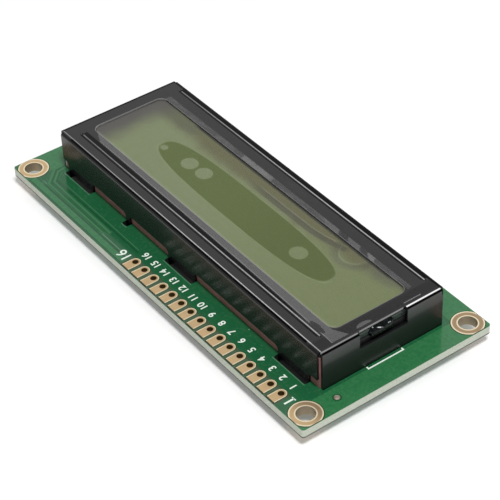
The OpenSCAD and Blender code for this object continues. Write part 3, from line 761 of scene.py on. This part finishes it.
# %% [markdown]
# The drop of glue that closes the cell's filling port looks black in the notch, because nothing is lit behind
# it. Light catches its top edge in two glints and its lower edge in one soft curve. Lamps small enough to
# make them would light the rest too, so they are drawn in its colour, on a black that is mostly metallic.

# %% Drop on the filling port
DROP_DARK, DROP_GREY = (0.004, 0.006, 0.006), (0.016, 0.020, 0.020)
DROP_CURVE, DROP_GLINT = (0.10, 0.11, 0.11), (0.60, 0.63, 0.63)
GLINT_HEIGHT, GLINT_SLOPE, SECOND_GLINT_HEIGHT = 6.22, 0.37, 6.18


def end_drop():
    m = Finish("end_drop")
    low, high = corners("end_seal")
    cloud = m.grain(0.5, 3.0)
    across = (m.y - (low[1] + high[1]) / 2) / ((high[1] - low[1]) / 2)
    up = (m.z - (low[2] + high[2]) / 2) / ((high[2] - low[2]) / 2)
    curve = m.band(m.length(across, up), 0.80, 0.90, 0.08) * m.ramp(up, 0.1, -0.3) * m.ramp(across, -0.4, 0.5)
    height = m.z - BOARD_TOP
    first = m.band(m.y, -0.3, 0.8, 0.15) * m.stripe(height + m.y * GLINT_SLOPE, GLINT_HEIGHT, 0.03, 0.12)
    second = m.band(m.y, 1.8, 2.2, 0.15) * m.stripe(height, SECOND_GLINT_HEIGHT, 0.03, 0.10)
    shine = m.most(first, second)
    colour = m.blend(DROP_DARK, DROP_GREY, m.ramp(cloud, 0.4, 0.7))
    colour = m.blend(colour, DROP_CURVE, curve)
    colour = m.blend(colour, DROP_GLINT, shine * m.ramp(cloud, 0.35, 0.55))
    m.set(Base_Color=colour, Metallic=0.75 - shine * 0.75, Roughness=0.12 + cloud * 0.1)
    m.wear("end_seal")


end_drop()

# %% [markdown]
# The inner pieces are plain mouldings, laminate, metal and epoxy. One function gives them all a cloudy second
# colour, a fine grain and a matching bump, and only the numbers differ.

# %% Plain materials of the inner pieces
def plain(name, colour, second, roughness, size, *nodes, metallic=0.0):
    m = Finish(name)
    cloud = m.grain(size, 4.0)
    fine = m.grain(size / 9, 2.0)
    m.set(Base_Color=m.blend(colour, second, m.ramp(cloud, 0.35, 0.7)), Metallic=metallic)
    m.set(Roughness=roughness + fine * 0.12, Normal=m.bump(fine, 0.015, 0.3))
    m.wear(*nodes)


plain("white_moulding", (0.80, 0.80, 0.76), (0.70, 0.70, 0.66), 0.45, 3.0, "backlight_reflector")
plain("black_moulding", (0.003, 0.003, 0.0035), (0.006, 0.006, 0.007), 0.5, 2.0, "cell_holder")
plain("milky_sheet", (0.80, 0.82, 0.72), (0.72, 0.75, 0.64), 0.4, 4.0, "backlight_diffuser")
plain("light_laminate", (0.74, 0.74, 0.68), (0.62, 0.64, 0.56), 0.5, 2.0, "backlight_board")
plain("die_crystal", (0.36, 0.42, 0.04), (0.22, 0.28, 0.03), 0.25, 0.2, "backlight_dice")
plain("tinned_metal", (0.62, 0.62, 0.63), (0.46, 0.46, 0.47), 0.28, 0.5,
      "backlight_pins", "backlight_solder", "resistor_caps", "capacitor_caps", metallic=1.0)
plain("black_epoxy", (0.010, 0.010, 0.012), (0.018, 0.018, 0.020), 0.2, 3.0, "controller_blob", "driver_blob")
plain("bare_silicon", (0.12, 0.13, 0.16), (0.08, 0.09, 0.12), 0.15, 0.8,
      "controller_die", "driver_die", metallic=0.6)
plain("resistor_glaze", (0.012, 0.012, 0.014), (0.03, 0.03, 0.032), 0.3, 0.6, "resistors")
plain("capacitor_ceramic", (0.22, 0.13, 0.065), (0.16, 0.09, 0.045), 0.45, 0.6, "capacitors")

# %% [markdown]
# The contact strips under the glass are silicone with a dark conducting core. Only their pink side shows in
# the slots of the bezel, and at the left end the cut end of the strip, which carries a painted white glint.

# %% Pink silicone
PINK, PINK_DARK, STRIP_END_GLINT = (0.35, 0.17, 0.155), (0.27, 0.13, 0.12), (0.72, 0.71, 0.68)
STRIP_END_X = -34.15


def pink_silicone():
    m = Finish("pink_silicone")
    cloud = m.grain(2.2, 4.0)
    fine = m.grain(0.25, 2.0)
    colour = m.blend(PINK, PINK_DARK, m.ramp(cloud, 0.35, 0.7))
    # Painted glint on the cut end of the strip at the left end.
    colour = m.blend(colour, STRIP_END_GLINT, m.ramp(m.x, STRIP_END_X, STRIP_END_X - 0.25) * m.ramp(fine, 0.25, 0.5))
    m.set(Base_Color=colour, Roughness=0.5 + fine * 0.12, Normal=m.bump(fine, 0.015, 0.3))
    m.wear("zebra_strip_near", "zebra_strip_far")


pink_silicone()

# %% [markdown]
# From here on new pieces are made. Each is built as a bmesh in millimetres, right at its place. One function
# turns its faces outwards, brings it to metres, tells the frame what it rides on and gives it its finish.

# %% From a bmesh to a finished piece
def piece(name, bm, finish, body="root"):
    bmesh.ops.recalc_face_normals(bm, faces=bm.faces)
    bmesh.ops.scale(bm, vec=(MM, MM, MM), verts=bm.verts)
    mesh = bpy.data.meshes.new(name)
    bm.to_mesh(mesh)
    bm.free()
    made = bpy.data.objects.new(name, mesh)
    bpy.context.collection.objects.link(made)
    mesh.materials.append(finish.material)
    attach(made, body)
    print(name, len(mesh.polygons), "faces")
    return made


# %% [markdown]
# Copper tracks run under the mask as low rounded ridges: out from the bezel's left end, past the corner hole
# and along the board's near edge. Each is a curve with a round section, made a mesh and then pressed flat,
# which is quicker than drawing two sides of every track, and its bends stay even.

# %% Tracks under the mask
TRACK_HEIGHT = 0.05
TRACK_GREEN, TRACK_DARK = (0.032, 0.165, 0.062), (0.024, 0.135, 0.050)
LEFT_TRACKS = (
    (0.12, ((-33.5, -12.3), (-32.3, -13.62), (-8.4, -13.66))),
    (0.34, ((-34.3, -11.5), (-34.1, -12.7), (-32.1, -14.72), (-15.0, -14.76))),
    (0.32, ((-35.2, -10.9), (-35.0, -12.9), (-32.2, -15.70), (-15.5, -15.72))),
    (0.08, ((-35.4, -10.7), (-35.25, -13.1), (-32.1, -16.10), (-16.2, -16.12))),
)


def swept(path, radius):
    """A mesh of a round tube along a list of points in millimetres."""
    curve = bpy.data.curves.new("track", "CURVE")
    curve.dimensions, curve.use_fill_caps = "3D", True
    curve.bevel_depth, curve.bevel_resolution = radius, 2
    spline = curve.splines.new("POLY")
    spline.points.add(len(path) - 1)
    for point, place in zip(spline.points, path):
        point.co = (*place, 0, 1)
    holder = bpy.data.objects.new("track", curve)
    mesh = bpy.data.meshes.new_from_object(holder)
    bpy.data.objects.remove(holder)
    return mesh


def pressed_track(half, path):
    """A mesh of one ridge of a given half width, with a round pad at its end."""
    track = bmesh.new()
    mesh = swept(path, half)
    track.from_mesh(mesh)
    knob = bmesh.ops.create_uvsphere(track, u_segments=16, v_segments=8, radius=half)
    bmesh.ops.translate(track, vec=(*path[-1], 0), verts=knob["verts"])
    bmesh.ops.scale(track, vec=(1, 1, TRACK_HEIGHT / (2 * half)), verts=track.verts)
    bmesh.ops.translate(track, vec=(0, 0, BOARD_TOP), verts=track.verts)
    track.to_mesh(mesh)
    track.free()
    return mesh


def front_tracks():
    m = Finish("track_mask")
    cloud = m.grain(4.0, 3.0)
    m.set(Base_Color=m.blend(TRACK_GREEN, TRACK_DARK, cloud), Roughness=0.13 + cloud * 0.06)
    bm = bmesh.new()
    for half, path in LEFT_TRACKS:
        mesh = pressed_track(half, path)
        bm.from_mesh(mesh)
        bpy.data.meshes.remove(mesh)
    piece("front_tracks", bm, m)


front_tracks()

# %% [markdown]
# The white print is ink, drawn here a fiftieth of a millimetre thick. Plain numbers count the pins, and a
# bracket marks the end of the glass. Text starts as a flat curve with Blender's own font, is thickened and
# made a mesh, and is then turned to read from the far side of the board, as it does on the module.

# %% Ink and its shapes
INK_HEIGHT = 0.02
CAPITAL_SHARE = 0.70
INK_WHITE, INK_THIN = (0.80, 0.88, 0.80), (0.50, 0.66, 0.52)


def ink():
    m = Finish("white_ink")
    cloud = m.grain(0.25, 3.0)
    m.set(Base_Color=m.blend(INK_WHITE, INK_THIN, m.ramp(cloud, 0.52, 0.8)), Roughness=0.45)
    m.set(Normal=m.bump(cloud, 0.01, 0.3))
    return m


def add_text(bm, text, height, x, y, bold):
    """Add text of a given capital height, centred on a place and turned half round."""
    curve = bpy.data.curves.new("text", "FONT")
    curve.body, curve.align_x, curve.align_y = text, "CENTER", "CENTER"
    curve.size, curve.extrude, curve.offset = height / CAPITAL_SHARE, INK_HEIGHT / 2, height * bold
    holder = bpy.data.objects.new("text", curve)
    mesh = bpy.data.meshes.new_from_object(holder)
    mesh.transform(Matrix.Translation((x, y, BOARD_TOP + INK_HEIGHT / 2)) @ Matrix.Rotation(math.pi, 4, "Z"))
    bm.from_mesh(mesh)
    bpy.data.objects.remove(holder)
    bpy.data.meshes.remove(mesh)


def add_bar(bm, left, near, right, far):
    """Add a bar of ink between two corners on the board."""
    made = bmesh.ops.create_cube(bm, size=1)
    low, high = Vector((left, near, BOARD_TOP)), Vector((right, far, BOARD_TOP + INK_HEIGHT))
    bmesh.ops.scale(bm, vec=high - low, verts=made["verts"])
    bmesh.ops.translate(bm, vec=(high + low) / 2, verts=made["verts"])


INK = ink()

# %% [markdown]
# The first and the last pin have a larger number beside their pads. The font's 1 has no foot, and the printed
# one does, so a bar is added under it.

# %% Numbers and bracket
FIRST_NUMBER = dict(height=1.75, x=FIRST_PIN + 2.0, y=-15.75, bold=0.02)
LAST_NUMBER = dict(height=1.85, x=FIRST_PIN - PITCH * (PIN_COUNT - 1) - 2.6, y=-16.15, bold=0.01)
SMALL_NUMBER = dict(height=1.2, y=-13.5, bold=0.03)
FOOT_HALF, FOOT_THICK = 0.42, 0.2
BRACKET = dict(x=35.9, near=-2.67, far=4.25, line=0.25, hook=0.45)


def pin_numbers():
    bm = bmesh.new()
    add_text(bm, "1", **FIRST_NUMBER)
    foot = FIRST_NUMBER["y"] + FIRST_NUMBER["height"] / 2
    add_bar(bm, FIRST_NUMBER["x"] - FOOT_HALF, foot - FOOT_THICK, FIRST_NUMBER["x"] + FOOT_HALF, foot)
    add_text(bm, str(PIN_COUNT), **LAST_NUMBER)
    for pin in range(1, PIN_COUNT + 1):
        add_text(bm, str(pin), x=FIRST_PIN - PITCH * (pin - 1), **SMALL_NUMBER)
    piece("pin_numbers", bm, INK)


def end_bracket():
    bm = bmesh.new()
    x, line = BRACKET["x"], BRACKET["line"]
    add_bar(bm, x - line / 2, BRACKET["near"], x + line / 2, BRACKET["far"])
    for y in (BRACKET["near"], BRACKET["far"] - line):
        add_bar(bm, x - BRACKET["hook"], y, x - line / 2, y + line)
    piece("end_bracket", bm, INK)


pin_numbers()
end_bracket()

# %% [markdown]
# Near the first pin's corner a via comes up through the board: a small plated hole, filled with a low dome of
# solder. Half its outline, from the top of the dome over the raised collar to the rim, is spun round once, as
# on a lathe. The mask's dark gap round it is part of the mask's finish.

# %% Filled via
SOLDER, SOLDER_DARK = (0.44, 0.40, 0.32), (0.24, 0.21, 0.16)
VIA_OUTLINE = ((0, 0.085), (0.14, 0.08), (0.27, 0.055), (0.34, 0.03), (0.38, 0.04), (0.44, 0.055),
               (0.49, 0.04), (VIA["radius"], -0.02), (0, -0.02))
VIA_STEPS = 32


def filled_via():
    m = Finish("dull_solder")
    cloud = m.grain(0.3, 3.0)
    m.set(Base_Color=m.blend(SOLDER, SOLDER_DARK, m.ramp(cloud, 0.4, 0.7)), Metallic=0.4)
    m.set(Roughness=0.35 + cloud * 0.1, Normal=m.bump(cloud, 0.02, 0.4))
    bm = bmesh.new()
    points = [bm.verts.new((radius, 0, height)) for radius, height in VIA_OUTLINE]
    outline = [bm.edges.new(pair) for pair in zip(points, points[1:])]
    bmesh.ops.spin(bm, geom=points + outline, cent=(0, 0, 0), axis=(0, 0, 1), angle=2 * math.pi,
                   steps=VIA_STEPS, use_merge=True)
    bmesh.ops.remove_doubles(bm, verts=bm.verts, dist=0.0001)
    bmesh.ops.translate(bm, vec=(VIA["x"], VIA["y"], BOARD_TOP), verts=bm.verts)
    piece("filled_via", bm, m)


filled_via()

# %% [markdown]
# The protective film is a thin clear sheet, laid over the bezel's window by hand and not quite square to it.
# It lies on the bezel round the window and sags to the polarizer inside, where part of it clings. A cloth
# simulation could lay it, but its places are known from the photograph, so one rule gives the height of the
# film at each place: high on the bezel, low where it clings, and rippled over air.

# %% Height of the protective film
FILM_ON_BEZEL, FILM_OVER_AIR, FILM_CLINGING = BEZEL_TOP + 0.015, POLARIZER_TOP + 0.10, POLARIZER_TOP + 0.01
SAG_FROM, SAG_TO = 0.05, 2.2
RIPPLE_X, RIPPLE_Y, RIPPLE_HEIGHT = 0.20, 0.5, 0.03


def smooth(value, low, high):
    """0 below low and 1 above high, with a soft step between, for plain numbers."""
    t = min(1.0, max(0.0, (value - low) / (high - low)))
    return t * t * (3 - 2 * t)


def clings_at(x, y):
    cling = 1 - smooth(patch_level(x, y), 0.95, 1.6)
    for bubble_x, bubble_y, radius in BUBBLES:
        cling *= smooth(math.hypot(x - bubble_x, y - bubble_y), radius * 0.3, radius * 1.05)
    return cling


def film_level(x, y):
    """Height of the film's underside in millimetres."""
    sag = smooth(-past_edge(x, y, WINDOW, max, min, math.hypot), SAG_FROM, SAG_TO)
    ripple = noise.noise(Vector((x * RIPPLE_X, y * RIPPLE_Y, 2.0))) * RIPPLE_HEIGHT
    lifted = max(FILM_OVER_AIR + ripple * (1 + smooth(y, 3.0, 8.0)), FILM_CLINGING)
    cling = clings_at(x, y)
    return (FILM_CLINGING * cling + lifted * (1 - cling)) * sag + FILM_ON_BEZEL * (1 - sag)


# %% [markdown]
# The light that the film's two surfaces mirror is painted as a white veil: a matt white of very low alpha.
# A glossy clear sheet would mirror the room twice and glitter. Over the bezel the painted reflection varies:
# along the far strip in bright and dull stretches, along the near strip up to a painted highlight at its lip,
# with one spot wiped nearly clear.

# %% Painted reflection of the film over the bezel
SMUDGE = dict(x=30.2, y=-7.6, half_x=1.7, half_y=0.50)
FLAP = dict(x=34.1, y=-1.9, half_x=0.75, half_y=1.5)
STRETCHES = dict(bright=((-9.6, -2.4, 0.6), (22.2, 23.4, 0.4)), fair=((11.6, 15.2, 0.6), (17.2, 20.5, 0.5)),
                 dark=((15.2, 17.2, 0.4), (20.5, 22.0, 0.4)))


def oval_level(m, oval):
    """0 in the middle of an oval, 1 on its outline."""
    return m.length((m.x - oval["x"]) / oval["half_x"], (m.y - oval["y"]) / oval["half_y"])


def far_strip(m):
    """Painted reflection of the film over the far strip of the bezel."""
    mottle = m.grain(1.4, 3.0, (0.6, 1.5, 1))
    along = m.x + (m.grain(0.9, 3.0) - 0.5) * 1.4 + (m.y - 8.6) * 0.8
    bright, fair, dark = (m.most(*(m.band(along, *span) for span in STRETCHES[kind]))
                          for kind in ("bright", "fair", "dark"))
    reflection_veil = 0.022 + m.ramp(mottle, 0.4, 0.65) * 0.016 + bright * 0.045 + fair * 0.022
    return reflection_veil * (1 - dark * 0.8) * m.band(m.x, -31.4, 31.8, 0.3)


def near_strip(m, fine):
    """1 under the film along the near strip, and more at its lip, where a painted highlight runs."""
    near = m.ramp(m.y, WINDOW["near"] + 0.05, WINDOW["near"] - 0.05) * m.ramp(m.x, 32.6, 32.4)
    corner = m.ramp((m.x - 32.2) * 0.58 - (m.y + 6.0), 0.0, 0.2) * m.ramp(m.x, 31.6, 31.8)
    smudge = m.ramp(oval_level(m, SMUDGE) + fine * 0.5, 1.35, 1.15)
    lip = film_edge(m)
    strip = m.most(near, corner) * (1 - smudge * 0.95) * m.ramp(lip, -0.02, 0.05)
    return strip * (1 + m.stripe(lip, 0.07, 0.03, 0.12) * 1.6)


def flap(m):
    """1 in the half oval by the notch, where the film's end stands off the bezel."""
    return m.ramp(oval_level(m, FLAP), 1.0, 0.85) * m.ramp(m.x, FLAP["x"] + 0.1, FLAP["x"])


# %% [markdown]
# In the window the painted reflection is even over air and thinner where the film clings. Its creases carry
# painted highlights: the edges of the two blisters, the fold along the window's near edge and the film's far
# right corner.

# %% Finish of the protective film
FILM_WHITE, FILM_GREY = (0.92, 0.92, 0.91), (0.80, 0.80, 0.79)
AIR_REFLECTION, CLING_REFLECTION = 0.030, 0.009
END_GLINT = dict(x=(34.02, 34.12), y=(5.7, 8.8))


def creases(m):
    """1 on the painted highlights along the lower edges of the two blisters."""
    left, right = FIRST_BLISTER["left"], FIRST_BLISTER["right"]
    crest = m.band(first_blister(m), 0.0, 0.1, 0.07) * m.band(m.x, left, right - 1.0, 1.2)
    brim = m.band(second_blister(m), -0.1, 0.0, 0.07) * m.ramp(m.y, 7.4, 6.4)
    return crest + brim


def film_haze(m, fine):
    """Alpha of the film: its painted reflection, with painted highlights."""
    edge = m.outside(WINDOW)
    # The painted reflection is thinner in the painted shadow along the window's far edge.
    dull = m.ramp(edge, -0.6, -0.1) * m.ramp(m.y, 6.8, 7.6)
    window = m.ramp(edge, 0.1, -0.1) * (AIR_REFLECTION - clinging(m) * CLING_REFLECTION) * (1 - dull * 0.7)
    far = m.ramp(m.y, WINDOW["far"], WINDOW["far"] + 0.1) * far_strip(m)
    fold = m.stripe(edge, -0.12, 0.06, 0.16) * m.ramp(m.y, -5.0, -5.6)
    glint = m.band(m.x, *END_GLINT["x"], 0.06) * m.band(m.y, *END_GLINT["y"], 0.2)
    # The film's alpha is painted reflection, with painted highlights on its creases, fold and far corner.
    reflection_veil = window + near_strip(m, fine) * 0.048 + far
    return reflection_veil + creases(m) * 0.032 + fold * 0.04 + glint * 0.12 + flap(m) * 0.05


def film_finish():
    m = Finish("clear_film")
    fine = m.grain(0.5, 4.0)
    m.set(Base_Color=m.blend(FILM_WHITE, FILM_GREY, fine), Alpha=film_haze(m, fine))
    m.set(Normal=m.bump(m.grain(3.0, 2.0, (0.35, 1.2, 1)), 0.02, 0.15))
    m.set(Roughness=0.6, Specular_IOR_Level=0.1)
    return m


# %% [markdown]
# A grid is cut to the film's straight edges with bisect_plane, its points are set to the film's height, and
# solidify gives the sheet its thickness. Its flat area and size are printed.

# %% Protective film
FILM_CORNERS = ((-32.3, -5.6), (-28.3, -7.38), (34.25, -8.12), (34.2, 8.9), (-31.9, 9.15))
FILM_THICK = 0.05
FILM_STEP = 0.3


def cut_sheet(middle, size):
    """A flat grid in millimetres, cut to the film's outline."""
    bm = bmesh.new()
    segments = [round(side / FILM_STEP) for side in size]
    bmesh.ops.create_grid(bm, x_segments=segments[0], y_segments=segments[1], size=0.5)
    bmesh.ops.scale(bm, vec=(*size, 1), verts=bm.verts)
    bmesh.ops.translate(bm, vec=(*middle, 0), verts=bm.verts)
    for corner, following in zip(FILM_CORNERS, FILM_CORNERS[1:] + FILM_CORNERS[:1]):
        outward = (following[1] - corner[1], corner[0] - following[0], 0)
        everything = bm.verts[:] + bm.edges[:] + bm.faces[:]
        bmesh.ops.bisect_plane(bm, geom=everything, plane_co=(*corner, 0), plane_no=outward, clear_outer=True)
    return bm


def protective_film():
    xs, ys = zip(*FILM_CORNERS)
    size_x, size_y = max(xs) - min(xs), max(ys) - min(ys)
    bm = cut_sheet(((max(xs) + min(xs)) / 2, (max(ys) + min(ys)) / 2), (size_x, size_y))
    flat_area = sum(face.calc_area() for face in bm.faces)
    for vert in bm.verts:
        vert.co.z = film_level(vert.co.x, vert.co.y)
    bmesh.ops.solidify(bm, geom=bm.faces[:], thickness=-FILM_THICK)
    film = piece("film", bm, film_finish())
    for face in film.data.polygons:
        face.use_smooth = True
    print("film flat area", round(flat_area, 1), "mm2, size", round(size_x, 2), "x", round(size_y, 2))
    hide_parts("protective_film")
    size_x * MM
    size_y * MM
    flat_area * MM * MM


protective_film()

# %% [markdown]
# The floor is a plain pale sheet under the module, level with the flats of the drops behind the board. A
# little light of its own keeps it white without a brighter lamp.

# %% Floor
FLOOR_HALF = 1.5
FLOOR_WHITE, FLOOR_GREY = (0.85, 0.85, 0.85), (0.83, 0.83, 0.83)
FLOOR_GLOW = 0.14


def pale_floor():
    bm = bmesh.new()
    bmesh.ops.create_grid(bm, x_segments=1, y_segments=1, size=FLOOR_HALF)
    mesh = bpy.data.meshes.new("floor")
    bm.to_mesh(mesh)
    bm.free()
    floor = bpy.data.objects.new("floor", mesh)
    bpy.context.collection.objects.link(floor)
    m = Finish("pale_floor")
    m.set(Base_Color=m.blend(FLOOR_WHITE, FLOOR_GREY, m.grain(40.0)), Roughness=0.8)
    m.set(Emission_Color=(1.0, 1.0, 1.0), Emission_Strength=FLOOR_GLOW)
    mesh.materials.append(m.material)
    print("floor", 2 * FLOOR_HALF, "m wide")


pale_floor()
